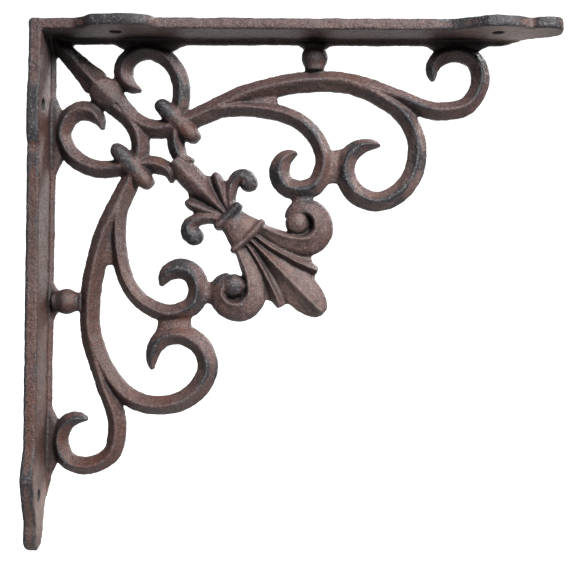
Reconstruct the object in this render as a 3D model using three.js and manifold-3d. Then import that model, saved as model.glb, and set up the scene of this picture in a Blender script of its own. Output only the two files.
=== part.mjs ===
import * as THREE from 'three';
import Module from 'manifold-3d';
import { mergeVertices } from 'three/addons/utils/BufferGeometryUtils.js';

const wasm = await Module();
wasm.setup();

// Cast iron shelf bracket. Millimetres, +X out from the wall, +Z up, -Y towards the shown side.
// The origin is the middle of the wall arm's back face.

// Overall sizes
const height = 248;
const reach = 247;
const shelfFaceZ = height / 2;
const armWidth = 25;
const frontEdge = -armWidth / 2;
const backPlane = armWidth / 2;
const wallArmThick = 6.1;
const shelfArmThick = 5.2;
const armEdgeBevel = 0.9;

// The low rib behind each arm, and the inner corner that the scrollwork is measured from
const shelfRibHeight = 2.6;
const wallRibHeight = 2;
const scrollInset = 2.6;
const ribWidth = 3;
const ribRunOut = 9;
const shelfRibEnd = 230;
const wallRibEnd = 226;

// Screw holes, as distances from the outer corner and across the arm
const holeDiameter = 5.5;
const holeSides = 20;
const cutMargin = 2;
const nearHoleAlong = 39.5;
const nearHoleY = -5.6;
const shelfTipHoleAlong = 217;
const shelfTipHoleY = -7;
const wallTipHoleAlong = 222.5;
const wallTipHoleY = -4.4;

// Pads on the front edge, each as [distance from the outer corner, y]
const shelfNearPad = [[21, -12.5], [26, -15.8], [29, -19.8], [34, -21.6], [51, -21.8], [57, -20], [60, -14]];
const wallNearPad = [[28, -12.5], [34, -14.6], [44, -15], [54, -14.6], [59, -12.5]];
const shelfTip = [
  [195, -12.5], [202, -15.6], [206, -18.4], [211, -21.4], [218.5, -21], [226, -18.8], [230, -15.6],
  [233, -14.4], [241.6, -14.6], [245, -12], [reach, -5], [245.6, 0.8], [238, 5.5], [229, 12],
];
const wallTip = [
  [199, -12.5], [204, -14.5], [209, -16.6], [214, -18], [219, -16], [226, -14], [231, -11.2],
  [236, -9.8], [243, -10.4], [247, -8], [height, -4.5], [246.5, -0.5], [242, 3.2], [236, 6.4], [229, 8.6],
  [224, 12.5],
];

// Section of the scroll bars: upright sides, two slopes and a narrow crest
const barShoulderY = 9.2;
const barCrestY = 4.2;
const crestShare = 0.16;
const fullBarHalfWidth = 4;
const tipDepthShare = 0.55;

// A bar is cut into stretches: none turns more than this, none is longer than this
const stretchTurn = THREE.MathUtils.degToRad(19);
const stretchLength = 13;
const curveSamples = 16;

// Runs of the scroll bars as [along the shelf rib, down from it, half width], from the scrollwork's corner.
// The wall side is the same pattern turned over the diagonal.
const cornerScroll = [
  [41, 22.2, 0.8], [36.4, 20.6, 3.2], [32.4, 16.4, 4.6], [32.4, 10, 4.7], [36.6, 5, 4.4],
  [44.5, 3, 4.2], [54, 7.8, 4.2], [59.6, 18.2, 4.2], [59.6, 29.4, 4.1], [57.6, 40, 3.9],
  [58, 49, 4.2], [61, 54.8, 3.2], [66.4, 55.8, 0.9],
];
const outerArch = [
  [24, 20.5, 3.4], [28, 25, 4.2], [32.4, 31, 4.3], [38.4, 37, 4.4], [46, 40.4, 4.5], [54.5, 40, 4.5],
  [64.6, 36.2, 4.6], [79, 29.6, 5.1], [89, 24.6, 5], [99, 21.4, 4.8], [108, 19.4, 4.9],
  [117, 17.8, 4.9], [126.5, 17.2, 4.8], [136, 17.5, 4.9], [146.5, 19.6, 4.8], [165, 25.4, 4],
  [175, 29.6, 4.3], [184.4, 31.2, 4.4], [196.4, 28.4, 4.3], [202.4, 17.4, 4.3], [200, 7.4, 4.2],
  [190.6, 3.4, 4.1], [182.6, 6, 3.8], [179.4, 11.4, 2.5], [179.6, 16, 1.2],
];
const innerScroll = [
  [75, 32.2, 3.6], [84, 30.4, 3.9], [94, 30.5, 3.8], [107, 32.5, 3.8], [117, 36.6, 3.8],
  [124.4, 43.7, 3.9], [128.8, 54, 4.2], [128, 61, 4.5], [124.4, 67, 4.7], [117.6, 69.4, 4.9],
  [110, 66.8, 4.9], [107, 60.4, 4.7], [108.8, 54.8, 3.4], [114.6, 52, 1],
];
const lowerScroll = [
  [141, 19.2, 4], [153, 23.6, 4.2], [166, 32.6, 4.4], [172, 42.8, 4.4], [173, 52.4, 4.5],
  [170.4, 62.6, 4.7], [163, 71.2, 4.8], [153.4, 74.4, 4.9], [143.8, 70.4, 4.9], [138.6, 61, 4.7],
  [140, 53, 4.2], [145.6, 48.4, 3], [154, 47.2, 1.1],
];

// Collars that tie the crossed bars, as one run with rounded ends
const collar = [
  [49.6, 28.4, 1.6], [50.6, 29.4, 2.8], [53, 31.6, 3.7], [59, 37.2, 3.9], [64.8, 42.8, 3.7], [67, 44.8, 2.8],
  [68, 45.8, 1.6],
];
const collarShoulderY = 6.5;
const collarCrestY = 2.6;
const collarCrestShare = 0.45;

// Webs where bars touch each other or the rib, lower than the bars
const scrollWeb = [[127.5, 58, 8.5], [133.4, 58, 6.6], [139.4, 58, 8.5]];
const volutesWeb = [[118.6, 69, 6.4], [118.8, 73.6, 5], [119, 78.5, 6.4]];
const trunkWeb = [[82, 28.4, 4.4], [94, 26.8, 4], [101, 26.4, 3.2], [106, 26.4, 1.8]];
const cornerRibWeb = [
  [25.6, -1.6, 1], [29.5, -1, 2.1], [37, 0.4, 3.8], [52, 0.4, 3.8], [59, -1, 2.1], [63, -1.6, 1],
];
const endRibWeb = [
  [174.6, -1.6, 1], [178.5, -1, 2.1], [185, 0.4, 3.7], [197, 0.4, 3.7], [203.6, -1, 2.1], [207.4, -1.6, 1],
];
const webShoulderY = 9.6;
const webCrestY = 7.4;
const webCrestShare = 0.5;

// Ball between the shelf rib and the arch, just large enough to bite into both
const bossAlong = 123.8;
const bossBite = 0.5;
const bossWebReach = 7.4;
const bossWebHalfWidth = 3;
const bossWebEndHalfWidth = 1.4;
const bossWebEndRise = 0.8;
const bossFrontY = 3.2;
const bossSides = 18;
const bossRows = 5;

// Pieces on the diagonal as [distance from the scrollwork's corner, across, half width]
const spear = [[-3, 0, 3.2], [6, 0, 4.4], [14, 0, 5], [20, 0, 5.7], [27.4, 0, 6.6], [29, 0, 4]];
const spearShoulderY = 9.4;
const spearCrestY = 4.2;
const spearCrestShare = 0.08;
const bud = [[25.6, 0, 5], [28, 0, 7.4], [32, 0, 7.6], [36, 0, 7.4], [40, 0, 6.4]];
const budShoulderY = 7;
const budCrestY = 3;
const budCrestShare = 0.4;

// The plume's axis lies this far to the shelf side of the diagonal
const plumeShift = 0.8;

// The palmette above the cup
const palmStem = [
  [78, 0, 4], [84, 0, 4.8], [91, 0, 5.9], [97, 0, 5.4], [103, 0, 3.8], [109, 0, 2.3], [115, 0, 1.2],
];
const palmLeaf = [
  [97.4, 9.6, 1.2], [99.2, 9.2, 2.3], [102, 8.2, 2.8], [107, 5.8, 2.5], [112, 3.2, 1.6], [116, 1.8, 1],
];
const palmCurl = [
  [115, 4, 2.4], [110.6, 7.6, 2.8], [107.4, 12.4, 3.2], [107.2, 17, 3.7], [110, 19, 4.2], [112.4, 18.2, 4],
];
const curlBallAt = [112.4, 18.2];
const curlBallRadius = 4.3;
const palmWeb = [[94, 0, 4.8], [98.6, 0, 8.2], [103, 0, 10.6], [109, 0, 10.2], [116, 0, 7]];
const palmShoulderY = 8.8;
const palmCrestY = 3.6;
const palmCrestShare = 0.16;

// The cup: its waist band, its flare and its rim
const waist = [[116.6, -8.4, 1.3], [117, -7, 2.1], [117.4, 0, 2.4], [117, 7, 2.1], [116.6, 8.4, 1.3]];
const cup = [[116, 0, 6.4], [120.5, 0, 6.8], [125, 0, 8], [129, 0, 9.2], [131, 0, 9.6]];
const rim = [[130.2, -10.7, 1], [130.6, -9, 1.7], [131.2, 0, 1.9], [130.6, 9, 1.7], [130.2, 10.7, 1]];
const cupShoulderY = 7.6;
const cupCrestY = 3.4;
const cupCrestShare = 0.4;
const bandShoulderY = 6.4;
const bandCrestY = 1;
const fullBandHalfWidth = 1.8;

// The plume below the cup: centre leaf, side leaves and the two volutes with their eyes
const centreLeaf = [
  [128, 0, 1.8], [142, 0, 3.2], [155, 0, 6.2], [165, 0, 8.6], [173, 0, 7.8], [178, 0, 5.9], [181, 0, 3.6],
  [182, 0, 1.4],
];
const sideLeaf = [[129, 2.4, 2], [140, 4, 2.8], [152, 7.2, 3], [161, 10.4, 2.9], [165.6, 12.4, 1.8]];
const volute = [
  [129, 5.6, 2.8], [137, 8, 3.8], [146.6, 12, 5], [153.4, 18.2, 5.6], [153.8, 26, 5.6], [147.4, 31, 5],
  [140.2, 30, 4.2], [136.8, 24.4, 3.4], [138.4, 19.6, 2],
];
const plumeWeb = [[130, 0, 8], [142, 0, 12], [152, 0, 14.6], [159, 0, 14.4], [165, 0, 10.6], [170, 0, 7]];
const plumeShoulderY = 8.6;
const plumeCrestY = 3.4;
const plumeCrestShare = 0.14;
const eyeAt = [142.6, 21.2];
const eyeRadius = 5.6;
const eyeFrontY = 2.6;
const voluteFloorAt = [145.4, 24.4];
const voluteFloorRadius = 8.4;
const voluteFloorY = 9.4;

// Iron under old brown paint
const ironColor = 0x4d3a35;
const ironRoughness = 0.72;
const ironMetalness = 0.35;

const cornerX = wallArmThick + scrollInset;
const cornerZ = shelfFaceZ - shelfArmThick - scrollInset;

// A frame in the world for shapes drawn as (along an arm, y, away from the arm)
function frameOf(alongAxis, awayAxis, origin) {
  const frame = new THREE.Matrix4().makeBasis(alongAxis, new THREE.Vector3(0, 1, 0), awayAxis);
  return frame.setPosition(origin);
}

const outward = new THREE.Vector3(1, 0, 0);
const downward = new THREE.Vector3(0, 0, -1);
const ribCorner = new THREE.Vector3(cornerX, 0, cornerZ);
const outerCorner = new THREE.Vector3(0, 0, shelfFaceZ);
const shelfSide = frameOf(outward, downward, ribCorner);
const wallSide = frameOf(downward, outward, ribCorner);
const shelfArmFrame = frameOf(outward, downward, outerCorner);
const wallArmFrame = frameOf(downward, outward, outerCorner);

// The solid of a closed geometry put in a frame; a frame that mirrors turns the faces round
function solidOf(geometry, frame) {
  const placed = geometry.clone();
  placed.deleteAttribute('normal');
  placed.deleteAttribute('uv');
  placed.applyMatrix4(frame);
  const welded = mergeVertices(placed, 1e-4);
  const triVerts = new Uint32Array(welded.index.array);
  if (frame.determinant() < 0) {
    for (let i = 0; i < triVerts.length; i += 3) {
      [triVerts[i + 1], triVerts[i + 2]] = [triVerts[i + 2], triVerts[i + 1]];
    }
  }
  const vertProperties = new Float32Array(welded.attributes.position.array);
  return new wasm.Manifold(new wasm.Mesh({ numProp: 3, vertProperties, triVerts }));
}

// Where a run is cut: at its ends, and wherever it has turned or gone on far enough
function stationsOf(run) {
  const curve = new THREE.CatmullRomCurve3(
    run.map(([along, away, halfWidth]) => new THREE.Vector3(along, halfWidth, away)),
    false,
    'centripetal',
  );
  const count = run.length * curveSamples;
  const samples = [];
  for (let i = 0; i <= count; i += 1) {
    const at = curve.getPoint(i / count);
    const course = curve.getTangent(i / count);
    const heading = course.clone().setY(0).normalize();
    samples.push({ at, course, heading });
  }
  const stations = [samples[0]];
  let turned = 0;
  let gone = 0;
  for (let i = 1; i < count; i += 1) {
    turned += samples[i].course.angleTo(samples[i - 1].course);
    gone += samples[i].at.distanceTo(samples[i - 1].at);
    if (turned > stretchTurn || gone > stretchLength) {
      stations.push(samples[i]);
      turned = 0;
      gone = 0;
    }
  }
  stations.push(samples[count]);
  return stations;
}

// A closed bar along a run; its depth shrinks with its width towards a tip
function barAlong(run, shoulderY, crestY, flatShare, fullHalfWidth = fullBarHalfWidth) {
  const stations = stationsOf(run);
  const positions = [];
  let corners = 0;
  for (const { at, heading } of stations) {
    const halfWidth = at.y;
    const fullness = Math.min(1, halfWidth / fullHalfWidth);
    const depthShare = tipDepthShare + (1 - tipDepthShare) * fullness;
    const shoulder = backPlane - (backPlane - shoulderY) * depthShare;
    const crest = backPlane - (backPlane - crestY) * depthShare;
    const section = [
      [-1, backPlane], [-1, shoulder], [-flatShare, crest], [flatShare, crest], [1, shoulder], [1, backPlane],
    ];
    for (const [share, y] of section) {
      const across = share * halfWidth;
      positions.push(at.x - heading.z * across, y, at.z + heading.x * across);
    }
    corners = section.length;
  }
  const index = [];
  for (let s = 0; s < stations.length - 1; s += 1) {
    for (let c = 0; c < corners; c += 1) {
      const a = s * corners + c;
      const b = s * corners + ((c + 1) % corners);
      index.push(a, a + corners, b, b, a + corners, b + corners);
    }
  }
  const last = (stations.length - 1) * corners;
  for (let c = 1; c < corners - 1; c += 1) {
    index.push(0, c, c + 1);
    index.push(last, last + c + 1, last + c);
  }
  const geometry = new THREE.BufferGeometry();
  geometry.setAttribute('position', new THREE.Float32BufferAttribute(positions, 3));
  geometry.setIndex(index);
  return geometry;
}

// A run on the diagonal, given as (distance, across), turned to (along, away)
function fromDiagonal(run, shift) {
  return run.map(([distance, across, halfWidth]) => [
    (distance + across + shift) * Math.SQRT1_2,
    (distance - across - shift) * Math.SQRT1_2,
    halfWidth,
  ]);
}

// A domed stud that stands on the back plane
function studOf(radius, frontY) {
  const dome = Math.min(radius, backPlane - frontY);
  const profile = [new THREE.Vector2(0, -backPlane)];
  profile.push(new THREE.Vector2(radius, -backPlane));
  for (let row = 0; row < bossRows; row += 1) {
    const lift = (row / bossRows) * (Math.PI / 2);
    profile.push(new THREE.Vector2(radius * Math.cos(lift), -frontY - dome * (1 - Math.sin(lift))));
  }
  profile.push(new THREE.Vector2(0, -frontY));
  return new THREE.LatheGeometry(profile, bossSides).rotateX(Math.PI);
}

// An arm's plate, its outline drawn as (along, y) and its outer face at the frame's zero
function plateOf(nearPad, tip, thickness) {
  const outline = new THREE.Shape();
  const points = [[0, backPlane], [0, frontEdge], ...nearPad, ...tip];
  outline.setFromPoints(points.map(([along, y]) => new THREE.Vector2(along, y)));
  const geometry = new THREE.ExtrudeGeometry(outline, {
    depth: thickness - 2 * armEdgeBevel,
    bevelThickness: armEdgeBevel,
    bevelSize: armEdgeBevel,
    bevelOffset: -armEdgeBevel,
    bevelSegments: 1,
  });
  return geometry.translate(0, 0, armEdgeBevel);
}

// The rib behind an arm, thinning out before the tip
function ribOf(thickness, ribHeight, end) {
  const side = new THREE.Shape();
  side.setFromPoints([
    new THREE.Vector2(armEdgeBevel, armEdgeBevel),
    new THREE.Vector2(end, armEdgeBevel),
    new THREE.Vector2(end, thickness),
    new THREE.Vector2(end - ribRunOut, thickness + ribHeight),
    new THREE.Vector2(armEdgeBevel, thickness + ribHeight),
  ]);
  const geometry = new THREE.ExtrudeGeometry(side, { depth: ribWidth, bevelEnabled: false });
  return geometry.rotateX(Math.PI / 2).translate(0, backPlane, 0);
}

function holeOf(along, y, thickness) {
  const geometry = new THREE.CylinderGeometry(
    holeDiameter / 2,
    holeDiameter / 2,
    thickness + 2 * cutMargin,
    holeSides,
  );
  return geometry.rotateX(Math.PI / 2).translate(along, y, thickness / 2);
}

// A stud set down on the diagonal's own measures
function studOnDiagonal(place, radius, frontY, shift) {
  const [[along, away]] = fromDiagonal([place], shift);
  return studOf(radius, frontY).translate(along, 0, away);
}

// How far the upper edge of a bar lies from the rib at one place along it
function edgeAt(run, along) {
  const stations = stationsOf(run);
  const next = stations.findIndex(({ at }) => at.x > along);
  const before = stations[next - 1].at;
  const after = stations[next].at;
  const share = (along - before.x) / (after.x - before.x);
  return THREE.MathUtils.lerp(before.z - before.y, after.z - after.y, share);
}

const bossReach = edgeAt(outerArch, bossAlong) + bossBite;
const bossRadius = (bossReach + bossBite) / 2;
const bossDown = bossReach - bossRadius;
const bossRibWeb = [
  [bossAlong - bossWebReach, -bossWebEndRise, bossWebEndHalfWidth],
  [bossAlong, 0, bossWebHalfWidth],
  [bossAlong + bossWebReach, -bossWebEndRise, bossWebEndHalfWidth],
];

// The paired shapes of one side
const scrollwork = [
  barAlong(cornerScroll, barShoulderY, barCrestY, crestShare),
  barAlong(outerArch, barShoulderY, barCrestY, crestShare),
  barAlong(innerScroll, barShoulderY, barCrestY, crestShare),
  barAlong(lowerScroll, barShoulderY, barCrestY, crestShare),
  barAlong(collar, collarShoulderY, collarCrestY, collarCrestShare),
  barAlong(scrollWeb, webShoulderY, webCrestY, webCrestShare),
  barAlong(volutesWeb, webShoulderY, webCrestY, webCrestShare),
  barAlong(trunkWeb, webShoulderY, webCrestY, webCrestShare),
  barAlong(cornerRibWeb, webShoulderY, webCrestY, webCrestShare),
  barAlong(bossRibWeb, webShoulderY, webCrestY, webCrestShare),
  barAlong(endRibWeb, webShoulderY, webCrestY, webCrestShare),
  studOf(bossRadius, bossFrontY).translate(bossAlong, 0, bossDown),
];

function plumePair(shift) {
  return [
    barAlong(fromDiagonal(palmLeaf, shift), palmShoulderY, palmCrestY, palmCrestShare),
    barAlong(fromDiagonal(palmCurl, shift), palmShoulderY, palmCrestY, palmCrestShare),
    barAlong(fromDiagonal(sideLeaf, shift), plumeShoulderY, plumeCrestY, plumeCrestShare),
    barAlong(fromDiagonal(volute, shift), plumeShoulderY, plumeCrestY, plumeCrestShare),
    studOnDiagonal(curlBallAt, curlBallRadius, palmCrestY, shift),
    studOnDiagonal(eyeAt, eyeRadius, eyeFrontY, shift),
    studOnDiagonal(voluteFloorAt, voluteFloorRadius, voluteFloorY, shift),
  ];
}

const onDiagonal = [
  barAlong(fromDiagonal(spear, 0), spearShoulderY, spearCrestY, spearCrestShare),
  barAlong(fromDiagonal(bud, 0), budShoulderY, budCrestY, budCrestShare),
  barAlong(fromDiagonal(palmStem, plumeShift), palmShoulderY, palmCrestY, palmCrestShare),
  barAlong(fromDiagonal(palmWeb, plumeShift), webShoulderY, webCrestY, webCrestShare),
  barAlong(fromDiagonal(cup, plumeShift), cupShoulderY, cupCrestY, cupCrestShare),
  barAlong(fromDiagonal(waist, plumeShift), bandShoulderY, bandCrestY, cupCrestShare, fullBandHalfWidth),
  barAlong(fromDiagonal(rim, plumeShift), bandShoulderY, bandCrestY, cupCrestShare, fullBandHalfWidth),
  barAlong(fromDiagonal(plumeWeb, plumeShift), webShoulderY, webCrestY, webCrestShare),
  barAlong(fromDiagonal(centreLeaf, plumeShift), plumeShoulderY, plumeCrestY, spearCrestShare),
];

let casting = solidOf(plateOf(shelfNearPad, shelfTip, shelfArmThick), shelfArmFrame)
  .add(solidOf(plateOf(wallNearPad, wallTip, wallArmThick), wallArmFrame))
  .add(solidOf(ribOf(shelfArmThick, shelfRibHeight, shelfRibEnd), shelfArmFrame))
  .add(solidOf(ribOf(wallArmThick, wallRibHeight, wallRibEnd), wallArmFrame));
for (const geometry of [...scrollwork, ...plumePair(plumeShift), ...onDiagonal]) {
  casting = casting.add(solidOf(geometry, shelfSide));
}
for (const geometry of [...scrollwork, ...plumePair(-plumeShift)]) {
  casting = casting.add(solidOf(geometry, wallSide));
}

const holes = [
  solidOf(holeOf(nearHoleAlong, nearHoleY, shelfArmThick), shelfArmFrame),
  solidOf(holeOf(shelfTipHoleAlong, shelfTipHoleY, shelfArmThick), shelfArmFrame),
  solidOf(holeOf(nearHoleAlong, nearHoleY, wallArmThick), wallArmFrame),
  solidOf(holeOf(wallTipHoleAlong, wallTipHoleY, wallArmThick), wallArmFrame),
];
for (const hole of holes) {
  casting = casting.subtract(hole);
}

function meshOf(solid, name, material) {
  const { vertProperties, triVerts } = solid.getMesh();
  const geometry = new THREE.BufferGeometry();
  geometry.setAttribute('position', new THREE.Float32BufferAttribute(vertProperties, 3));
  geometry.setIndex(new THREE.Uint32BufferAttribute(triVerts, 1));
  geometry.computeVertexNormals();
  const mesh = new THREE.Mesh(geometry, material);
  mesh.name = name;
  return mesh;
}

const iron = new THREE.MeshStandardMaterial({
  color: ironColor,
  roughness: ironRoughness,
  metalness: ironMetalness,
});

const bracket = new THREE.Group();
bracket.name = 'shelf_bracket';
bracket.add(meshOf(casting, 'bracket_casting', iron));

export default bracket;
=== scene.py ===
import math

import bmesh
import bpy
import numpy as np
from mathutils import Matrix, Vector, noise
from mathutils.bvhtree import BVHTree


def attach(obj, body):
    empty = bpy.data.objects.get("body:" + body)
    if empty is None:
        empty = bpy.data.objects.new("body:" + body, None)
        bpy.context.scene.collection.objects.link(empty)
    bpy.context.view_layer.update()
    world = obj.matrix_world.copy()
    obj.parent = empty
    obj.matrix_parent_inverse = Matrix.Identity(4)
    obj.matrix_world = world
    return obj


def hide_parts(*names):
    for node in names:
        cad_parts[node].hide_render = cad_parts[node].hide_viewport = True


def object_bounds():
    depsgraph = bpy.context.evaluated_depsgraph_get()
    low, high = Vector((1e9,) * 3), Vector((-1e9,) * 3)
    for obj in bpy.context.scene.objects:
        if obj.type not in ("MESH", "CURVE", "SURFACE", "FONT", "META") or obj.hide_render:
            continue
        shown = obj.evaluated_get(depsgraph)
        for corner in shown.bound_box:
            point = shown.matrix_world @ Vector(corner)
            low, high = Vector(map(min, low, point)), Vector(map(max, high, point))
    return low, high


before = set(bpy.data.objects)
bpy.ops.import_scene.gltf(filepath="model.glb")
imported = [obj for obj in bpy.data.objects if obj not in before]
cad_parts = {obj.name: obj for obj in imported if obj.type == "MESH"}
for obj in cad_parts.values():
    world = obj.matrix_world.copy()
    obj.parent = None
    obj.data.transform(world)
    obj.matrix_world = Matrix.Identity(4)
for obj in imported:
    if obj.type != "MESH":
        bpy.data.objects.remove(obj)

# Cast iron shelf bracket. The casting is drawn in millimetres and scaled to metres when its skin is
# done. The camera and the studio are in metres.
mm = 0.001
cadLow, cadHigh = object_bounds()
box = {"low": np.array(cadLow) / mm, "high": np.array(cadHigh) / mm}

# Where the photograph was taken from, with the lens and sensor width in mm
cameraSet = {
    "place": (0.14111, -0.55359, -0.00191),
    "turn": (90.4517, -0.6899, 2.2103),
    "lens": 74.8,
    "sensor": 36,
}


def makeCamera(s):
    data = bpy.data.cameras.new("photoCamera")
    data.lens = s["lens"]
    data.sensor_width = s["sensor"]
    cam = bpy.data.objects.new("photoCamera", data)
    cam.location = s["place"]
    cam.rotation_euler = [math.radians(angle) for angle in s["turn"]]
    bpy.context.scene.collection.objects.link(cam)
    bpy.context.scene.camera = cam


makeCamera(cameraSet)
print("camera placed")

# The two plates. y runs from the carved front, minus, to the flat back, plus
arms = {
    "width": 25,
    "shelfFaceZ": 124,
    "wallThick": 6.1,
    "shelfThick": 5.2,
    "edgeRound": 0.7,
    # corners of the side view worn round, as (end of the box in x, end in z, radius)
    "rounded": [("low", "high", 2.6), ("low", "low", 4.2), ("high", "high", 2.8)],
    "shelfRib": 2.6,
    "wallRib": 2,
    "scrollInset": 2.6,
    "ribWidth": 3,
    "ribRunOut": 9,
    "shelfRibEnd": 230,
    "wallRibEnd": 226,
    "padStep": 2.5,
    # the pads on the front edge as (distance from the outer corner, y)
    "shelfPad": [
        (21, -12.5), (26, -15.8), (29, -19.8), (34, -21.6), (51, -21.8), (57, -20), (60, -14),
    ],
    "wallPad": [(28, -12.5), (34, -14.6), (44, -15), (54, -14.6), (59, -12.5)],
    "shelfTip": [
        (195, -12.5), (202, -15.6), (206, -18.4), (211, -21.4), (218.5, -21), (226, -18.8),
        (229.4, -16.2), (231.4, -15.4), (234, -17.4), (241.6, -17.2), (245, -14), (247, -5),
        (245.6, 0.8), (238, 5.5), (229, 12),
    ],
    "wallTip": [
        (199, -12.5), (204, -14.5), (209, -16.6), (214, -18), (219, -16), (226, -14),
        (231, -11.2), (236, -9.8), (243, -10.4), (247, -8), (248, -4.5), (246.5, -0.5),
        (242, 3.2), (236, 6.4), (229, 8.6), (224, 12.5),
    ],
    "holeAcross": 5.5,
    "holeSides": 36,
    # the darkness round a hole is painted shade
    "holeRim": 0.4,    # how far round a hole its darkness reaches
    "shelfHoles": [(39.5, -5.6), (217, -7)],
    "wallHoles": [(39.5, -5.6), (222.5, -4.4)],
}
backY = arms["width"] / 2
frontY = -backY
cornerX = arms["wallThick"] + arms["scrollInset"]
cornerZ = arms["shelfFaceZ"] - arms["shelfThick"] - arms["scrollInset"]

# Sections as (share of the half width, share of the rise from shoulder to crest)
sections = {
    "bar": [(-1, -0.1), (-0.96, 0.08), (-0.55, 0.5), (-0.2, 0.92), (-0.08, 1.03),
            (0.08, 1.03), (0.2, 0.92), (0.55, 0.5), (0.96, 0.08), (1, -0.1)],
    "round": [(-1, 0), (-0.97, 0.25), (-0.87, 0.5), (-0.7, 0.72), (-0.45, 0.9), (-0.16, 0.99),
              (0.16, 0.99), (0.45, 0.9), (0.7, 0.72), (0.87, 0.5), (0.97, 0.25), (1, 0)],
    "leaf": [(-1, -0.1), (-0.95, 0.1), (-0.66, 0.34), (-0.3, 0.68), (-0.08, 1.02), (0, 1.1),
             (0.08, 1.02), (0.3, 0.68), (0.66, 0.34), (0.95, 0.1), (1, -0.1)],
    "petal": [(-1, -0.4), (-0.95, 0.1), (-0.75, 0.5), (-0.4, 0.85), (-0.1, 1.06), (0.1, 1.06),
              (0.4, 0.85), (0.75, 0.5), (0.95, 0.1), (1, -0.4)],
    "volute": [(-1, -0.1), (-0.9, 0.2), (-0.72, 0.7), (-0.55, 1.08), (-0.42, 1.1), (-0.2, 0.88),
               (0.15, 0.7), (0.5, 0.52), (0.8, 0.28), (0.95, 0.02), (1, -0.2)],
    "web": [(-1, 0), (-0.6, 0.8), (0, 1), (0.6, 0.8), (1, 0)],
}

# How each piece is carved, as (section, y of its shoulder, y of its crest, half width from which
# it has its full depth)
carving = {
    "bar": ("bar", 9.4, 3.9, 4),
    "collar": ("round", 6.8, 2.2, 4),
    "bossNeck": ("round", 8.6, 4.6, 4),
    "web": ("web", 9.6, 7.4, 4),
    "spear": ("leaf", 9.4, 3.6, 4),
    "bud": ("petal", 7.8, 3.5, 4),
    "palmStem": ("petal", 8.8, 3.6, 4),
    "palmLeaf": ("petal", 8.8, 3.8, 4),
    "palmCurl": ("petal", 8.8, 3.8, 4),
    "palmWeb": ("web", 9.6, 8.3, 4),
    "waist": ("round", 6.4, 0.6, 1.9),
    "cup": ("round", 8.2, 3.4, 4),
    "rim": ("round", 6.4, 1.2, 1.5),
    "plumeWeb": ("web", 9.6, 8.3, 4),
    "centreLeaf": ("leaf", 8.6, 2.9, 4),
    "sideLeaf": ("leaf", 8.6, 3.4, 4),
    "volute": ("volute", 8.8, 3.1, 4),
}

# Runs of the scroll bars as (along the shelf rib, down from it, half width)
scrolls = {
    "tipDepth": 0.55,  # share of its depth that a run keeps where it thins to nothing
    "step": 1.4,
    "corner": [
        (41, 22.2, 0.8), (36.4, 20.6, 3.2), (32.4, 16.4, 4.6), (32.4, 10, 4.7), (36.6, 5, 4.4),
        (44.5, 3, 4.2), (54, 7.8, 4.2), (59.6, 18.2, 4.2), (59.6, 29.4, 4.1), (57.6, 40, 3.9),
        (58, 49, 4.2), (61, 54.8, 3.2), (66.4, 55.8, 0.9),
    ],
    "arch": [
        (24, 20.5, 3.4), (28, 25, 4.2), (32.4, 31, 4.3), (38.4, 37, 4.4), (46, 40.4, 4.5),
        (54.5, 40, 4.5), (64.6, 36.2, 4.6), (79, 29.6, 5.1), (89, 24.6, 5), (99, 21.4, 4.8),
        (108, 19.4, 4.9), (117, 17.8, 4.9), (126.5, 17.2, 4.8), (136, 17.5, 4.9),
        (146.5, 19.6, 4.8), (165, 25.4, 4), (175, 29.6, 4.3), (184.4, 31.2, 4.4),
        (196.4, 28.4, 4.3), (202.4, 17.4, 4.3), (200, 7.4, 4.2), (190.6, 3.4, 4.1),
        (182.8, 6, 4), (179.6, 11, 3.2), (179.7, 14.8, 2.1), (180.3, 17, 0.8),
    ],
    "inner": [
        (75, 32.2, 3.6), (84, 30.4, 3.9), (94, 30.5, 3.8), (107, 32.5, 3.8), (117, 36.6, 3.8),
        (124.4, 43.7, 3.9), (128.8, 54, 4.2), (128, 61, 4.5), (124.4, 67, 4.7),
        (117.6, 69.4, 4.9), (110, 66.8, 4.9), (107.4, 60.4, 5), (109.4, 54.8, 4.2),
        (113.4, 52.2, 2.5), (116, 51.4, 0.8),
    ],
    "lower": [
        (141, 19.2, 4), (153, 23.6, 4.2), (166, 32.6, 4.4), (172, 42.8, 4.4), (173, 52.4, 4.5),
        (170.4, 62.6, 4.7), (163, 71.2, 4.8), (153.4, 74.4, 4.9), (143.8, 70.4, 4.9),
        (138.8, 61, 4.9), (140.4, 53, 4.6), (146, 48.4, 3.7),
        (152.4, 47.2, 2.3), (155.8, 47.8, 0.8),
    ],
}
ties = {
    "collar": [
        (49, 27.8, 1.8), (50, 28.8, 3.1), (52.6, 31.3, 4), (59, 37.2, 4), (65, 43, 4),
        (67.4, 45.2, 3.1), (68.4, 46.2, 1.8),
    ],
    # the ball stud: its place, radius, and the y of its top, and its neck as (down, half width)
    "bossAlong": 123.8,
    "bossDown": 5.9,
    "bossRadius": 6.2,
    "bossFront": 3.2,
    "bossNeck": [(-0.5, 4.6), (6, 5.4), (12.6, 4.2)],
}
# Where neighbours run together, thinner than the bars
webs = [
    [(127.5, 58, 9.4), (133.4, 58, 7.8), (139.4, 58, 9.4)],
    [(118.6, 69, 6.4), (118.8, 73.6, 5), (119, 78.5, 6.4)],
    [(82, 28.4, 4.4), (94, 26.8, 4), (101, 26.4, 3.2), (106, 26.4, 1.8)],
    [(24, -2, 0.8), (29.5, -1, 2.1), (37, 0.4, 3.8), (52, 0.4, 3.8), (59, -1, 2.1), (64.5, -2, 0.8)],
    [
        (112, -2.2, 0.6), (117, -1, 1.5), (121, 0, 2.8), (126.6, 0, 2.8), (130.6, -1, 1.5),
        (135.6, -2.2, 0.6),
    ],
    [
        (173, -2, 0.8), (178.5, -1, 2.1), (185, 0.4, 3.7), (197, 0.4, 3.7), (203.6, -1, 2.1),
        (209, -2, 0.8),
    ],
]

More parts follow.
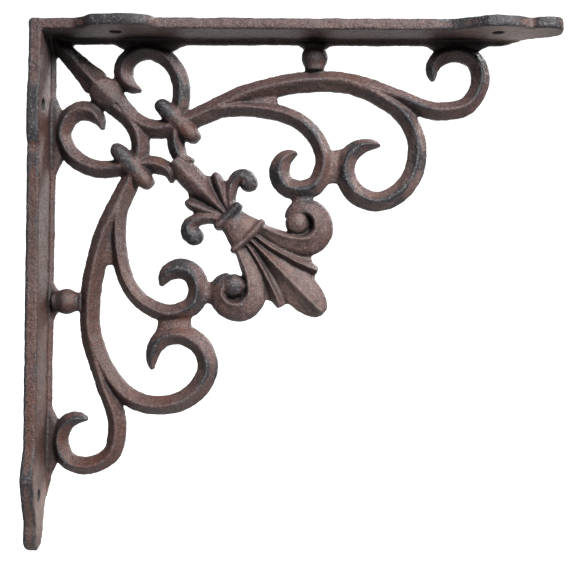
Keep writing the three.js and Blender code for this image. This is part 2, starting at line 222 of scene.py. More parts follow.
# Pieces on the diagonal as (distance from the scrollwork's corner, across, half width, and the
# share of its depth where that isn't whole). A stud's last two numbers are its radius and top y.
diagonal = {
    "shift": 0.8,      # how far the plume stands to the shelf's side of the true diagonal
    "spear": [(-3, 0, 3.2), (6, 0, 4.4), (14, 0, 5), (20, 0, 5.7), (26.6, 0, 6.5), (29.6, 0, 4)],
    "bud": [(27, 0, 4.6), (29.4, 0, 6.8), (33, 0, 7.6), (37, 0, 6.8), (41, 0, 5.4)],
    "palmStem": [
        (80, 0, 4.4), (85, 0, 5.2), (91, 0, 5.9), (97, 0, 5.4), (103, 0, 3.8), (109, 0, 2.3),
        (115, 0, 1.2),
    ],
    "palmLeaf": [
        (97.4, 9.6, 1.2), (99.2, 9.2, 2.3), (102, 8.2, 2.8), (107, 5.8, 2.5), (112, 3.2, 1.6),
        (116, 1.8, 1),
    ],
    "palmCurl": [
        (115, 4, 2.4), (110.6, 7.6, 2.8), (107.4, 12.4, 3.2), (107.2, 17, 3.7), (110, 19, 4.2),
        (112.4, 18.2, 4),
    ],
    "curlBall": (112.4, 18.2, 4.4, 3.8),
    "palmWeb": [(94, 0, 4.8), (98.6, 0, 8.2), (103, 0, 10.6), (109, 0, 10.2), (116, 0, 7)],
    "waist": [(116.6, -8.4, 1.3), (117, -7, 2.1), (117.4, 0, 2.4), (117, 7, 2.1), (116.6, 8.4, 1.3)],
    "cup": [(116, 0, 6.4), (120.5, 0, 6.8), (125, 0, 8), (129, 0, 9.2), (131, 0, 9.6)],
    "rim": [(130.2, -10.7, 1), (130.6, -9, 1.7), (131.2, 0, 1.9), (130.6, 9, 1.7), (130.2, 10.7, 1)],
    "centreLeaf": [
        (128, 0, 1.8), (142, 0, 3.2), (155, 0, 6.2), (165, 0, 8.6), (173, 0, 7.8), (178, 0, 5.9),
        (181, 0, 3.6), (182, 0, 1.4),
    ],
    "sideLeaf": [(129, 2.4, 2), (140, 4, 2.8), (152, 7.2, 3), (161, 10.4, 2.9), (165.6, 12.4, 1.8)],
    "volute": [
        (129, 5.6, 2.6), (137, 8, 3.8), (146.6, 12, 5), (153.4, 18.2, 5.6), (153.8, 26, 5.6, 0.98),
        (147.4, 31, 5, 0.96), (140.4, 29.6, 4.4, 0.95), (137.4, 24.4, 3.8, 0.92),
        (139, 20.4, 3.2, 0.9),
    ],
    "eye": (142.6, 21.2, 5.6, 2.2),
    "voluteFloor": (145.4, 24.4, 8.4, 9.4),
    "plumeWeb": [
        (130, 0, 8), (142, 0, 12), (152, 0, 14.6), (159, 0, 14.4), (165, 0, 10.6), (170, 0, 7),
    ],
}

casting = {
    "voxel": 0.52,
    "faces": 190000,
    "easeRounds": 4,   # rounds that soften the joins between bars
    "easePull": 0.5,
    "crestRounds": 26,  # rounds that level a copy of the skin, to find how far a crest stands out
    "crestPull": 0.6,
    "ridgeRounds": 9,
}

# The points and faces of everything drawn, until the remesh makes one skin of them
soup = {"points": [], "faces": []}


def addShape(points, faces, place):
    start = len(soup["points"])
    soup["points"].extend(place(*p) for p in points)
    soup["faces"].extend([start + i for i in face] for face in faces)


def shelfSide(along, y, away):
    return (cornerX + along, y, cornerZ - away)


def wallSide(along, y, away):
    return (cornerX + away, y, cornerZ - along)


def shelfArm(along, y, away):
    return (along, y, arms["shelfFaceZ"] - away)


def wallArm(along, y, away):
    return (away, y, arms["shelfFaceZ"] - along)


# A smooth line through a run's points, cut into short steps
def lineThrough(run, step):
    points = np.array([(*p, 1)[:4] for p in run], float)
    ends = np.vstack([2 * points[0] - points[1], points, 2 * points[-1] - points[-2]])
    line = []
    for i in range(len(points) - 1):
        before, start, stop, after = ends[i : i + 4]
        steps = zip(ends[i : i + 3, :3], ends[i + 1 : i + 4, :3])
        gaps = [max(np.linalg.norm(b - a) ** 0.5, 1e-3) for a, b in steps]
        near, here, far = gaps
        leave = (start - before) / near - (stop - before) / (near + here) + (stop - start) / here
        arrive = (stop - start) / here - (after - start) / (here + far) + (after - stop) / far
        leave, arrive = leave * here, arrive * here
        count = max(2, int(np.linalg.norm((stop - start)[:3]) / step))
        for k in range(count):
            t = k / count
            line.append(
                start + leave * t + (-3 * start + 3 * stop - 2 * leave - arrive) * t**2
                + (2 * start - 2 * stop + leave + arrive) * t**3
            )
    line.append(points[-1])
    return np.array(line)


# A closed bar along a run, its depth shrinking with its width towards a tip
def addBar(run, name, place):
    section, shoulder, crest, fullHalfWidth = carving[name]
    line = lineThrough(run, scrolls["step"])
    course = np.gradient(line[:, :2], axis=0)
    course /= np.linalg.norm(course, axis=1)[:, None]
    points, faces = [], []
    shape = [(-1, None)] + sections[section] + [(1, None)]
    for (along, away, half, lift), (dx, dz) in zip(line, course):
        depth = scrolls["tipDepth"] + (1 - scrolls["tipDepth"]) * min(1, half / fullHalfWidth)
        depth *= lift
        for share, rise in shape:
            y = backY
            if rise is not None:
                y = backY - (backY - shoulder + (shoulder - crest) * rise) * depth
            points.append((along - dz * share * half, y, away + dx * share * half))
    n = len(shape)
    for s in range(len(line) - 1):
        for c in range(n):
            a, b = s * n + c, s * n + (c + 1) % n
            faces.append((a, a + n, b + n, b))
    faces.append(tuple(range(n)))
    faces.append(tuple(range(len(points) - 1, len(points) - n - 1, -1)))
    addShape(points, faces, place)


# A domed stud standing on the back plane
def addStud(along, away, radius, front, place, sides=32, rows=8):
    dome = min(radius, backY - front)
    rings = [(radius, backY)]
    for row in range(rows):
        lift = row / rows * math.pi / 2
        rings.append((radius * math.cos(lift), front + dome * (1 - math.sin(lift))))
    points, faces = [], []
    for ring, y in rings:
        for k in range(sides):
            turn = 2 * math.pi * k / sides
            points.append((along + ring * math.cos(turn), y, away + ring * math.sin(turn)))
    points.append((along, front, away))
    for r in range(len(rings) - 1):
        for k in range(sides):
            a, b = r * sides + k, r * sides + (k + 1) % sides
            faces.append((a, a + sides, b + sides, b))
    last = (len(rings) - 1) * sides
    faces.extend((last + k, len(points) - 1, last + (k + 1) % sides) for k in range(sides))
    faces.append(tuple(range(sides)))
    addShape(points, faces, place)


def fromDiagonal(run, shift):
    half = math.sqrt(0.5)
    return [((s + t + shift) * half, (s - t - shift) * half, *rest) for s, t, *rest in run]


def meshFrom(points, faces, name):
    data = bpy.data.meshes.new(name)
    data.from_pydata([tuple(p) for p in points], [], faces)
    obj = bpy.data.objects.new(name, data)
    bpy.context.scene.collection.objects.link(obj)
    return obj


def turnFacesOut(obj):
    bm = bmesh.new()
    bm.from_mesh(obj.data)
    bmesh.ops.recalc_face_normals(bm, faces=bm.faces)
    bm.to_mesh(obj.data)
    bm.free()


# An arm's plate from its outline, with rounded edges and its screw holes cut
def addPlate(pad, tip, thick, holes, place):
    outline = [(0, backY), (0, frontY)]
    for stretch in (pad, tip):
        smooth = lineThrough([(a, y, 0) for a, y in stretch], arms["padStep"])
        outline += [(a, y) for a, y, *_ in smooth]
    bm = bmesh.new()
    base = bm.faces.new([bm.verts.new((a, y, 0)) for a, y in outline])
    grown = bmesh.ops.extrude_face_region(bm, geom=[base])
    raised = [v for v in grown["geom"] if isinstance(v, bmesh.types.BMVert)]
    bmesh.ops.translate(bm, verts=raised, vec=(0, 0, thick))
    bmesh.ops.recalc_face_normals(bm, faces=bm.faces)
    rims = [e for e in bm.edges if abs(e.verts[0].co.z - e.verts[1].co.z) < thick / 2]
    bmesh.ops.bevel(bm, geom=rims, offset=arms["edgeRound"], segments=2, profile=0.5, affect="EDGES")
    plate = meshFrom([], [], "plate")
    bm.to_mesh(plate.data)
    bm.free()
    radius = arms["holeAcross"] / 2
    for along, y in holes:
        cutter = bmesh.new()
        bmesh.ops.create_cone(
            cutter, cap_ends=True, segments=arms["holeSides"], radius1=radius, radius2=radius,
            depth=thick * 3, matrix=Matrix.Translation((along, y, 0)),
        )
        drill = meshFrom([], [], "drill")
        cutter.to_mesh(drill.data)
        cutter.free()
        cut = plate.modifiers.new("hole", "BOOLEAN")
        cut.object = drill
        cut.operation = "DIFFERENCE"
        cut.solver = "EXACT"
        applyAll(plate)
        bpy.data.objects.remove(drill)
    data = plate.data
    addShape([tuple(v.co) for v in data.vertices], [tuple(p.vertices) for p in data.polygons], place)
    bpy.data.objects.remove(plate)


# The low rib where the scrollwork springs, along the arm's back edge
def addRib(thick, tall, end, place):
    near = arms["edgeRound"]
    side = [
        (near, near), (end, near), (end, thick),
        (end - arms["ribRunOut"], thick + tall), (near, thick + tall),
    ]
    points = [(a, y, w) for y in (backY - arms["ribWidth"], backY) for a, w in side]
    n = len(side)
    faces = [tuple(range(n)), tuple(range(2 * n - 1, n - 1, -1))]
    faces += [(k, (k + 1) % n, n + (k + 1) % n, n + k) for k in range(n)]
    addShape(points, faces, place)


def applyAll(obj):
    shown = bpy.context.evaluated_depsgraph_get()
    fresh = bpy.data.meshes.new_from_object(obj.evaluated_get(shown))
    obj.modifiers.clear()
    obj.data = fresh


# One half of the pattern, hung from the shelf arm or mirrored on to the wall arm
def addScrollwork(place, shift):
    for name in ("corner", "arch", "inner", "lower"):
        addBar(scrolls[name], "bar", place)
    addBar(ties["collar"], "collar", place)
    addStud(ties["bossAlong"], ties["bossDown"], ties["bossRadius"], ties["bossFront"], place)
    neck = [(ties["bossAlong"], down, half) for down, half in ties["bossNeck"]]
    addBar(neck, "bossNeck", place)
    for run in webs:
        addBar(run, "web", place)
    for name in ("palmLeaf", "palmCurl", "sideLeaf", "volute"):
        addBar(fromDiagonal(diagonal[name], shift), name, place)
    for name in ("curlBall", "eye", "voluteFloor"):
        addStud(*fromDiagonal([diagonal[name]], shift)[0], place)


# What lies on the diagonal itself, and so is drawn once
def addDiagonal():
    for name in ("spear", "bud"):
        addBar(fromDiagonal(diagonal[name], 0), name, shelfSide)
    for name in ("palmStem", "palmWeb", "cup", "waist", "rim", "plumeWeb", "centreLeaf"):
        addBar(fromDiagonal(diagonal[name], diagonal["shift"]), name, shelfSide)


addPlate(arms["shelfPad"], arms["shelfTip"], arms["shelfThick"], arms["shelfHoles"], shelfArm)
addPlate(arms["wallPad"], arms["wallTip"], arms["wallThick"], arms["wallHoles"], wallArm)
addRib(arms["shelfThick"], arms["shelfRib"], arms["shelfRibEnd"], shelfArm)
addRib(arms["wallThick"], arms["wallRib"], arms["wallRibEnd"], wallArm)
addScrollwork(shelfSide, diagonal["shift"])
addScrollwork(wallSide, -diagonal["shift"])
addDiagonal()

bracket = meshFrom(soup["points"], soup["faces"], "bracketCasting")
turnFacesOut(bracket)
print("pattern drawn:", len(bracket.data.polygons), "faces")

# One skin over all of it, as the mould gives
skin = bracket.modifiers.new("oneSkin", "REMESH")
skin.mode = "VOXEL"
skin.voxel_size = casting["voxel"]
skin.adaptivity = 0
applyAll(bracket)
print("one skin:", len(bracket.data.vertices), "points")


def readPoints(obj):
    flat = np.empty(len(obj.data.vertices) * 3, np.float32)
    obj.data.vertices.foreach_get("co", flat)
    return flat.reshape(-1, 3).astype(float)


def readEdges(obj):
    flat = np.empty(len(obj.data.edges) * 2, np.int32)
    obj.data.edges.foreach_get("vertices", flat)
    return flat.reshape(-1, 2)


def readNormals(obj):
    flat = np.empty(len(obj.data.vertices) * 3, np.float32)
    obj.data.vertex_normals.foreach_get("vector", flat)
    return flat.reshape(-1, 3).astype(float)


# Each point drawn part of the way to the middle of its neighbours, again and again
def eased(values, links, rounds, pull):
    count = len(values)
    a, b = links[:, 0], links[:, 1]
    share = np.bincount(a, minlength=count) + np.bincount(b, minlength=count)
    share = np.maximum(share, 1)
    out = values.copy()
    for _ in range(rounds):
        for k in range(out.shape[1]):
            column = out[:, k]
            total = np.bincount(a, column[b], count) + np.bincount(b, column[a], count)
            out[:, k] = column + pull * (total / share - column)
    return out


def writePoints(obj, points):
    obj.data.vertices.foreach_set("co", points.astype(np.float32).ravel())
    obj.data.update()


# The unevenness that the sand mould leaves, as (size across, depth)
surface = {
    "waves": [(26, 0.2), (9, 0.2), (3.4, 0.2), (1.7, 0.15)],
    "seedStep": (17.3, 5.1, 9.7),
}


def noiseAt(points, size, seed):
    move = Vector(surface["seedStep"]) * seed
    return np.array([noise.noise(Vector(p) / size + move) for p in points])


def addField(obj, name, values):
    field = obj.data.attributes.new(name, "FLOAT", "POINT")
    field.data.foreach_set("value", values.astype(np.float32))


# Where the paint is worn to the iron, dirty or rusted through, and where shade or light is painted on, as
# (x, z, radius, strength)
patina = {
    # painted shade along the wall arm's outer front edge, its whole length, laid on with the worn iron's
    # colour
    "edgeWidth": 1.8,
    "edgeFront": -8,
    "edgeShade": 0.9,
    "wearAndEdgeShade": [
        (68.8, 93, 7, 1), (62, 84, 6, 0.9), (43, 61, 6, 0.8), (65, 66, 5, 1), (46, 56, 5, 0.6),
        (100, 57, 9, 0.9), (72, 23, 9, 1), (96, 36, 5.5, 1.2), (114, 53, 7, 1), (133, 76, 6, 0.8),
        (129, 44, 7, 1), (119, 42, 6, 0.8), (152, 66, 6, 1), (146, 54, 8, 0.9),
        (178.6, 82, 8, 0.8), (184, 62, 10, 0.9), (172, 42, 9, 0.8), (158, 38, 7, 0.6),
        (187, 103, 6, 1), (209, 98, 8, 0.6), (88, 6, 6, 1), (96, 0, 5, 0.5), (70, 9, 8, 1),
        (80, -8, 8, 0.9), (56, -30, 7, 0.9), (86, -40, 8, 0.7), (22, -66, 7, 0.9), (14, -82, 6, 0.5),
        (42, 122, 13, 1.2), (30, 124, 8, 1), (212, 122, 13, 1.2), (198, 124, 9, 1), (238, 120, 11, 0.8),
        (2, 86, 10, 1.3), (1, 72, 10, 1.2), (0, 58, 9, 0.8), (0, 30, 9, 0.5), (0, -40, 12, 0.4),
        (1, -92, 12, 0.8), (3, -108, 10, 0.5), (8, -122, 8, 0.4), (133, 110, 6, 0.3), (17, -6, 6, 0.3),
    ],
    # dirt in the joints, with painted shade under the shelf arm, in the webs and over the wall side
    "grimeAndShadeSpots": [
        (14, 108, 8, 1), (24, 98, 9, 0.9), (30, 90, 9, 0.9), (36, 86, 9, 1), (48, 112, 9, 1),
        (60, 108, 8, 0.7), (22, 114, 10, 0.9),
        (14, 62, 8, 0.7), (41, 84, 7, 0.6), (131, 105, 7, 0.9), (12, 100, 7, 0.9), (190, 110, 6, 0.7),
        (4, 30, 32, 0.7), (28, -8, 28, 0.6), (32, -42, 28, 0.55), (10, -78, 24, 0.5),
        (4, -112, 20, 0.5), (62, 72, 30, 0.3), (100, 112, 30, 0.3),
        (12, -6, 6, 0.8), (76, 60, 5, 0.7), (64, 52, 5, 0.7), (11, -65, 5, 0.9), (11, -94, 6, 0.9),
    ],
    # painted light, on the arms' inner faces, and then on the open scrollwork
    "paintedLight": [
        (6, -104, 13, 0.65), (8, -88, 6, 0.3), (226, 117, 15, 0.9), (208, 117, 9, 0.5),
        (46, 117, 13, 0.4),
    ],
    "paintedLightOnScrollwork": [
        (118, 0, 20, 0.2), (112, 28, 16, 0.2), (177, 58, 24, 0.24), (120, 58, 14, 0.12),
        (89, -31, 18, 0.1), (150, 60, 18, 0.15),
    ],
    "rusty": [
        (5, 30, 22, 0.9), (30, -8, 26, 0.85), (34, -42, 26, 0.85), (16, -76, 20, 0.9),
        (4, -70, 24, 0.9),
        (6, 70, 10, 1), (6, 48, 12, 0.9), (6, 20, 14, 0.6), (5, -20, 18, 0.8), (5, -60, 16, 0.9),
        (9, -95, 14, 1), (4, -112, 10, 0.9), (16, -80, 12, 0.8), (141, 58, 6, 1),
        (134, 58, 5, 0.8), (72, -18, 7, 0.9), (101, 30, 4, 1),
        (190, 114, 18, 0.4), (216, 117, 8, 0.3), (120, 118, 20, 0.3), (58, 96, 8, 0.5), (72, 74, 6, 0.7),
        (60, 60, 7, 0.6), (52, 48, 7, 0.6), (110, 14, 10, 0.5), (84, 44, 7, 0.4), (35, 8, 10, 0.5),
        (60, -52, 9, 0.5), (150, 96, 10, 0.5), (30, -84, 16, 0.7), (44, -44, 14, 0.5), (36, -66, 12, 0.6),
        (180, 98, 14, 0.5), (150, 110, 20, 0.5),
    ],
}


def spotField(points, spots):
    field = np.zeros(len(points))
    for x, z, radius, strength in spots:
        away = ((points[:, 0] - x) ** 2 + (points[:, 2] - z) ** 2) / radius**2
        field = np.maximum(field, strength * np.exp(-away))
    return field


shelter = {
    "rays": 12,
    "reach": 16,       # mm
    "lift": 0.25,      # mm off the skin, so that a ray doesn't meet its own face
    "tilt": (0.31, 0.17, 0.93),  # a direction that hardly any face looks along
    "easeRounds": 3,
}


# How much of the open side of a point the casting itself takes up, 0 open and 1 shut in, which decides
# where shade is painted
def shelterField(obj, s):
    tree = BVHTree.FromObject(obj, bpy.context.evaluated_depsgraph_get())
    points, normals = readPoints(obj), readNormals(obj)
    across = np.cross(normals, s["tilt"])
    across /= np.maximum(np.linalg.norm(across, axis=1), 1e-6)[:, None]
    along = np.cross(normals, across)
    starts = [Vector(p) for p in points + normals * s["lift"]]
    shut = np.zeros(len(points))
    for k in range(s["rays"]):
        rise = math.sqrt(1 - (k + 0.5) / s["rays"])
        flat = math.sqrt(1 - rise * rise)
        turn = k * math.pi * (3 - math.sqrt(5))
        rays = normals * rise + (across * math.cos(turn) + along * math.sin(turn)) * flat
        for i, (start, ray) in enumerate(zip(starts, rays)):
            if tree.ray_cast(start, Vector(ray), s["reach"])[0]:
                shut[i] += 1
    share = shut[:, None] / s["rays"]
    return eased(share, readEdges(obj), s["easeRounds"], casting["easePull"])[:, 0]


# 1 on the walls of the screw holes and at their rims, where shade is painted, 0 elsewhere
def holeShadeField(points):
    field = np.zeros(len(points))
    rim = arms["holeAcross"] / 2 + arms["holeRim"]
    for along, y in arms["shelfHoles"]:
        gap = np.hypot(points[:, 0] - along, points[:, 1] - y)
        field = np.maximum(field, (gap < rim) & (points[:, 2] > cornerZ))
    for along, y in arms["wallHoles"]:
        gap = np.hypot(arms["shelfFaceZ"] - points[:, 2] - along, points[:, 1] - y)
        field = np.maximum(field, (gap < rim) & (points[:, 0] < cornerX))
    return field


# A corner of the side view drawn in to a quarter circle
def roundCorner(points, endX, endZ, radius):
    corner = np.array([box[endX][0], box[endZ][2]])
    inward = np.array([1 if end == "low" else -1 for end in (endX, endZ)])
    middle = corner + inward * radius
    outward = points[:, (0, 2)] - middle
    reach = np.linalg.norm(outward, axis=1)
    over = (outward * inward < 0).all(axis=1) & (reach > radius)
    share = np.where(over, radius / np.maximum(reach, 1e-6), 1)
    out = points.copy()
    out[:, (0, 2)] = middle + outward * share[:, None]
    return out


# Softens the skin, roughens it, and marks where its paint is worn, dirty or rusty, and where shade or
# light is painted on
def castSurface(obj):
    links = readEdges(obj)
    form = eased(readPoints(obj), links, casting["easeRounds"], casting["easePull"])
    writePoints(obj, form)
    normals = readNormals(obj)
    plain = eased(form, links, casting["crestRounds"], casting["crestPull"])
    ridge = ((form - plain) * normals).sum(1)
    ridge = eased(ridge[:, None], links, casting["ridgeRounds"], casting["easePull"])[:, 0]
    rough = np.zeros(len(form))
    for seed, (size, depth) in enumerate(surface["waves"]):
        rough += noiseAt(form, size, seed + 1) * depth
    points = form + normals * rough[:, None]
    points = np.clip(points, box["low"], box["high"])
    for endX, endZ, radius in arms["rounded"]:
        points = roundCorner(points, endX, endZ, radius)
    writePoints(obj, points)

    facing = np.clip(-normals[:, 1], 0, 1)
    onArms = (points[:, 0] < cornerX) | (points[:, 2] > cornerZ)
    shadedOuterEdge = np.exp(-((points[:, 0] / patina["edgeWidth"]) ** 2))
    shadedOuterEdge *= (points[:, 1] < patina["edgeFront"]) * patina["edgeShade"]
    wearAndEdgeShade = spotField(points, patina["wearAndEdgeShade"]) * np.where(onArms, facing**2, 1)
    # painted light on arm faces that turn from the front
    paintedLight = spotField(points, patina["paintedLight"]) * onArms * (1 - facing)
    addField(obj, "ridge", ridge)
    # wear, with painted shade along the wall arm's outer front edge
    addField(obj, "wearAndEdgeShade", np.maximum(wearAndEdgeShade, shadedOuterEdge))
    addField(obj, "rusty", spotField(points, patina["rusty"]))
    addField(obj, "paintedLight", np.maximum(paintedLight, spotField(points, patina["paintedLightOnScrollwork"])))
    addField(obj, "grimeAndShadeSpots", spotField(points, patina["grimeAndShadeSpots"]))
    addField(obj, "hole", holeShadeField(points))


castSurface(bracket)
thin = bracket.modifiers.new("thin", "DECIMATE")
triangles = sum(len(p.vertices) - 2 for p in bracket.data.polygons)
thin.ratio = min(1, casting["faces"] / triangles)
applyAll(bracket)
writePoints(bracket, np.clip(readPoints(bracket), box["low"], box["high"]))
addField(bracket, "shut", shelterField(bracket, shelter))
print("sheltered places found")
bracket.data.transform(Matrix.Scale(mm, 4))
bracket.data.shade_smooth()
print("casting:", len(bracket.data.polygons), "faces")


def linear(hexColour):
    out = []
    for i in (0, 2, 4):
        c = int(hexColour[i : i + 2], 16) / 255
        out.append(c / 12.92 if c <= 0.04045 else ((c + 0.055) / 1.055) ** 2.4)
    return (*out, 1)


def addNode(tree, kind, settings=None, inputs=None):
    node = tree.nodes.new(kind)
    for name, value in (settings or {}).items():
        setattr(node, name, value)
    for name, value in (inputs or {}).items():
        socket = node.inputs[name]
        if isinstance(value, bpy.types.NodeSocket):
            tree.links.new(value, socket)
        else:
            socket.default_value = value
    return node


# Sand-cast grey iron under old brown paint: dull and grainy, the paint gone from the ridges, where the
# iron shows blue-black, and rust coming through in the flats. Shade is painted into hollows, sheltered
# places, the screw holes and the wall arm's outer edge, and light on some faces that turn from the front.
ironPaint = {
    "umber": "2c2122",
    "brown": "3f2b27",
    "pink": "5f4542",
    "rust": "4a2b21",
    "dust": "5f5a55",
    # the colour of painted shade, and of the dark pits in the grain
    "shade": "1c1414",
    "light": "876c67",
    # the colour of painted light
    "paintedLight": "917c75",
    "wearAndEdgeShade": "1f2127",
    "fleck": "7a7473",
    # the colour of painted shade in the screw holes
    "holeShade": "150f0e",
    # patterns as (mm across, detail, seed). Moulding sand is finer than the render shows, so its
    # grains and the flecks are drawn as coarse as they need to show.
    "patterns": {
        "grain": (0.75, 2, 0.31),
        "fleck": (1.425, 3, 0.77),
        "blotch": (5, 3, 0.13),
        "drift": (30, 2, 0.52),
    },
    # (name, what it follows, what is added to that and how much, from, to, share at from, share at to)
    "masks": [
        ("brownCoat", "blotch", {}, 0.36, 0.64, 0, 1),
        ("pinkCoat", "fleck", {}, 0.42, 0.7, 0.1, 0.75),
        ("rustPlace", "rusty", {"drift": 1}, 0.66, 1.1, 0, 1),
        ("rustCoat", "blotch", {}, 0.3, 0.55, 0.255, 0.85),
        ("dustCoat", "drift", {}, 0.5, 0.66, 0, 0.15),
        # painted shade: the shade colour laid into hollows and creases, darker the deeper they are
        ("hollowShade", "ridge", {}, -0.08, -0.5, 0, 0.85),
        ("grainLow", "grain", {}, 0.36, 0.5, 0.72, 0),
        ("grainTop", "grain", {}, 0.58, 0.7, 0, 0.36),
        # painted light, broken up by the blotches
        ("paintedLightBlotch", "blotch", {}, 0.3, 0.6, 0.4, 0.85),
        ("crest", "ridge", {}, 0.02, 0.36, -0.3, 0.44),
        # bare iron on worn places and crests, with the painted shade of the wall arm's outer edge
        ("bareIronAndEdgeShade", "crest", {"wearAndEdgeShade": 1.15, "blotch": 1.2, "fleck": 1.5}, 1.72, 2.2, 0, 0.95),
        ("bareLow", "grain", {}, 0.4, 0.54, 0.9, 0),
        ("bareFleck", "fleck", {}, 0.54, 0.66, 0, 0.4),
        # painted shade: the shade colour laid where the casting shuts a point in, and more where the
        # spots and flecks add dirt and painted shade
        ("sheltered", "shut", {}, 0.16, 0.62, 0, 1),
        ("grimeAndShade", "sheltered", {"grimeAndShadeSpots": 0.6, "fleck": 0.4}, 0.15, 1.15, 0, 0.86),
    ],
    # colours over the umber in the order they lie, as (colour, mask, and a second mask that limits it)
    "coats": [
        ("brown", "brownCoat", None), ("pink", "pinkCoat", None), ("rust", "rustCoat", "rustPlace"),
        ("dust", "dustCoat", None), ("shade", "hollowShade", None), ("shade", "grainLow", None),
        ("light", "grainTop", None), ("paintedLight", "paintedLightBlotch", "paintedLight"), ("wearAndEdgeShade", "bareIronAndEdgeShade", None),
        ("shade", "bareLow", "bareIronAndEdgeShade"), ("fleck", "bareFleck", "bareIronAndEdgeShade"), ("shade", "grimeAndShade", None),
        # painted shade in the screw holes
        ("holeShade", "hole", None),
    ],
    "rough": 0.6,
    "wornMetal": 0.12,
    "bump": 0.7,
    "bumpDeep": 0.5,   # mm
    "fleckHeight": 0.7,
}


def makeIronPaint(s):
    mat = bpy.data.materials.new("brownPaintedSandCastIron")
    mat.use_nodes = True
    tree = mat.node_tree
    tree.nodes.clear()
    at = addNode(tree, "ShaderNodeTexCoord").outputs["Object"]
    fields = {}
    for name in ("ridge", "wearAndEdgeShade", "rusty", "grimeAndShadeSpots", "paintedLight", "hole", "shut"):
        node = addNode(tree, "ShaderNodeAttribute", {"attribute_name": name})
        fields[name] = node.outputs["Fac"]
    for name, (size, detail, seed) in s["patterns"].items():
        moved = addNode(
            tree, "ShaderNodeVectorMath", {"operation": "ADD"}, {0: at, 1: (seed, seed * 0.7, 0)},
        )
        node = addNode(
            tree, "ShaderNodeTexNoise", {},
            {"Vector": moved.outputs[0], "Scale": 1 / (size * mm), "Detail": detail, "Roughness": 0.6},
        )
        fields[name] = node.outputs["Fac"]

    for name, follows, added, low, high, least, most in s["masks"]:
        total = fields[follows]
        for part, weight in added.items():
            node = addNode(
                tree, "ShaderNodeMath", {"operation": "MULTIPLY_ADD"},
                {0: fields[part], 1: weight, 2: total},
            )
            total = node.outputs[0]
        node = addNode(
            tree, "ShaderNodeMapRange", {"interpolation_type": "SMOOTHSTEP"},
            {"Value": total, "From Min": low, "From Max": high, "To Min": least, "To Max": most},
        )
        fields[name] = node.outputs[0]

    colour = linear(s["umber"])
    for name, mask, limit in s["coats"]:
        share = fields[mask]
        if limit:
            node = addNode(
                tree, "ShaderNodeMath", {"operation": "MULTIPLY"}, {0: share, 1: fields[limit]},
            )
            share = node.outputs[0]
        node = addNode(
            tree, "ShaderNodeMix", {"data_type": "RGBA"}, {0: share, 6: colour, 7: linear(s[name])},
        )
        colour = node.outputs[2]

    height = addNode(
        tree, "ShaderNodeMath", {"operation": "MULTIPLY_ADD"},
        {0: fields["fleck"], 1: s["fleckHeight"], 2: fields["grain"]},
    )
    bump = addNode(
        tree, "ShaderNodeBump", {},
        {"Height": height.outputs[0], "Strength": s["bump"], "Distance": s["bumpDeep"] * mm},
    )
    metal = addNode(
        tree, "ShaderNodeMath", {"operation": "MULTIPLY"}, {0: fields["bareIronAndEdgeShade"], 1: s["wornMetal"]},
    )
    shader = addNode(
        tree, "ShaderNodeBsdfPrincipled", {},
        {
            "Base Color": colour,
            "Roughness": s["rough"],
            "Metallic": metal.outputs[0],
            "Normal": bump.outputs[0],
        },
    )
    addNode(tree, "ShaderNodeOutputMaterial", {}, {"Surface": shader.outputs[0]})
    return mat


bracket.data.materials.clear()
bracket.data.materials.append(makeIronPaint(ironPaint))
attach(bracket, "root")
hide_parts("bracket_casting")
print("iron and paint made")

# Metres, with lamps in watts and degrees
studio = {
    "floorZ": -0.5,
    "halfWidth": 3,
    "front": -3,
    "wallY": 1.5,
    "curve": 0.5,
    "curveSteps": 12,
    "wallTop": 3,
    "paper": "dcdcdc",
    "paperRough": 0.9,
    "wallGlow": 1.0,
    "floorGlow": 0.22,
    "glowFromY": 0.8,
    "key": {"place": (0.64, -0.95, 0.66), "size": 0.35, "power": 3.35, "spread": 46},
    "back": {"place": (0.9, 1.1, 0.7), "size": 0.5, "power": 2.5, "spread": 60},
    "air": 0.09,
    "litHalfWidth": 0.8,
    "litTop": 0.8,
}


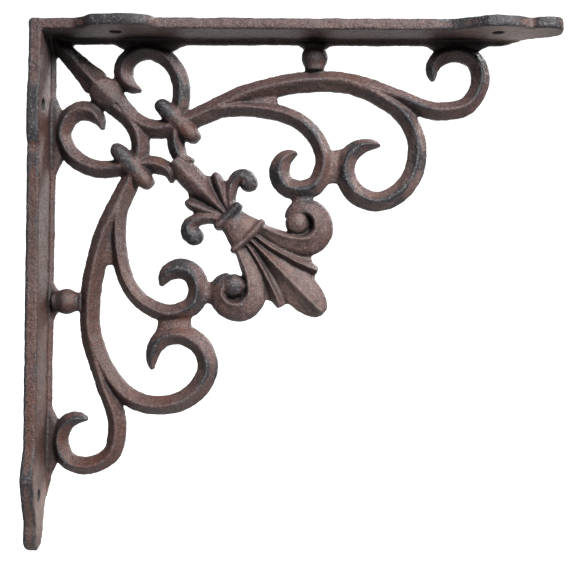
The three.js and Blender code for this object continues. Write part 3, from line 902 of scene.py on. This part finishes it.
# One sheet of paper, its far part lit from behind as the plain white ground of the photograph
def makeStudio(s):
    curveY = s["wallY"] - s["curve"]
    line = [(y, s["floorZ"]) for y in (s["front"], s["glowFromY"], curveY)]
    for k in range(1, s["curveSteps"] + 1):
        turn = math.pi / 2 * k / s["curveSteps"]
        rise = s["curve"] * (1 - math.cos(turn))
        line.append((curveY + s["curve"] * math.sin(turn), s["floorZ"] + rise))
    line += [(s["wallY"], s["litTop"]), (s["wallY"], s["wallTop"])]
    across = (-s["halfWidth"], -s["litHalfWidth"], s["litHalfWidth"], s["halfWidth"])
    points = [(x, y, z) for y, z in line for x in across]
    n = len(across)
    corners = [n * k + c for k in range(len(line) - 1) for c in range(n - 1)]
    faces = [(i, i + 1, i + n + 1, i + n) for i in corners]
    paper = meshFrom(points, faces, "studioPaper")
    paper.data.shade_smooth()
    for name, glow in (("mattPaper", s["floorGlow"]), ("litPaper", s["wallGlow"])):
        mat = bpy.data.materials.new(name)
        mat.use_nodes = True
        shader = mat.node_tree.nodes["Principled BSDF"]
        shader.inputs["Base Color"].default_value = linear(s["paper"])
        shader.inputs["Roughness"].default_value = s["paperRough"]
        shader.inputs["Emission Color"].default_value = (1, 1, 1, 1)
        shader.inputs["Emission Strength"].default_value = glow
        paper.data.materials.append(mat)
    for face in paper.data.polygons:
        inPicture = abs(face.center.x) < s["litHalfWidth"] and face.center.z < s["litTop"]
        face.material_index = int(face.center.y > s["glowFromY"] and inPicture)

    aim = (cadLow + cadHigh) / 2
    for name in ("key", "back"):
        lamp = bpy.data.lights.new(name + "Light", "AREA")
        lamp.size = s[name]["size"]
        lamp.energy = s[name]["power"]
        lamp.spread = math.radians(s[name]["spread"])
        obj = bpy.data.objects.new(name + "Light", lamp)
        obj.location = s[name]["place"]
        obj.rotation_euler = (aim - Vector(s[name]["place"])).to_track_quat("-Z", "Y").to_euler()
        bpy.context.scene.collection.objects.link(obj)

    world = bpy.data.worlds.new("softRoom")
    world.use_nodes = True
    world.node_tree.nodes["Background"].inputs["Color"].default_value = (1, 1, 1, 1)
    world.node_tree.nodes["Background"].inputs["Strength"].default_value = s["air"]
    bpy.context.scene.world = world
    bpy.context.scene.view_settings.view_transform = "Standard"


makeStudio(studio)
print("floor and lights set")
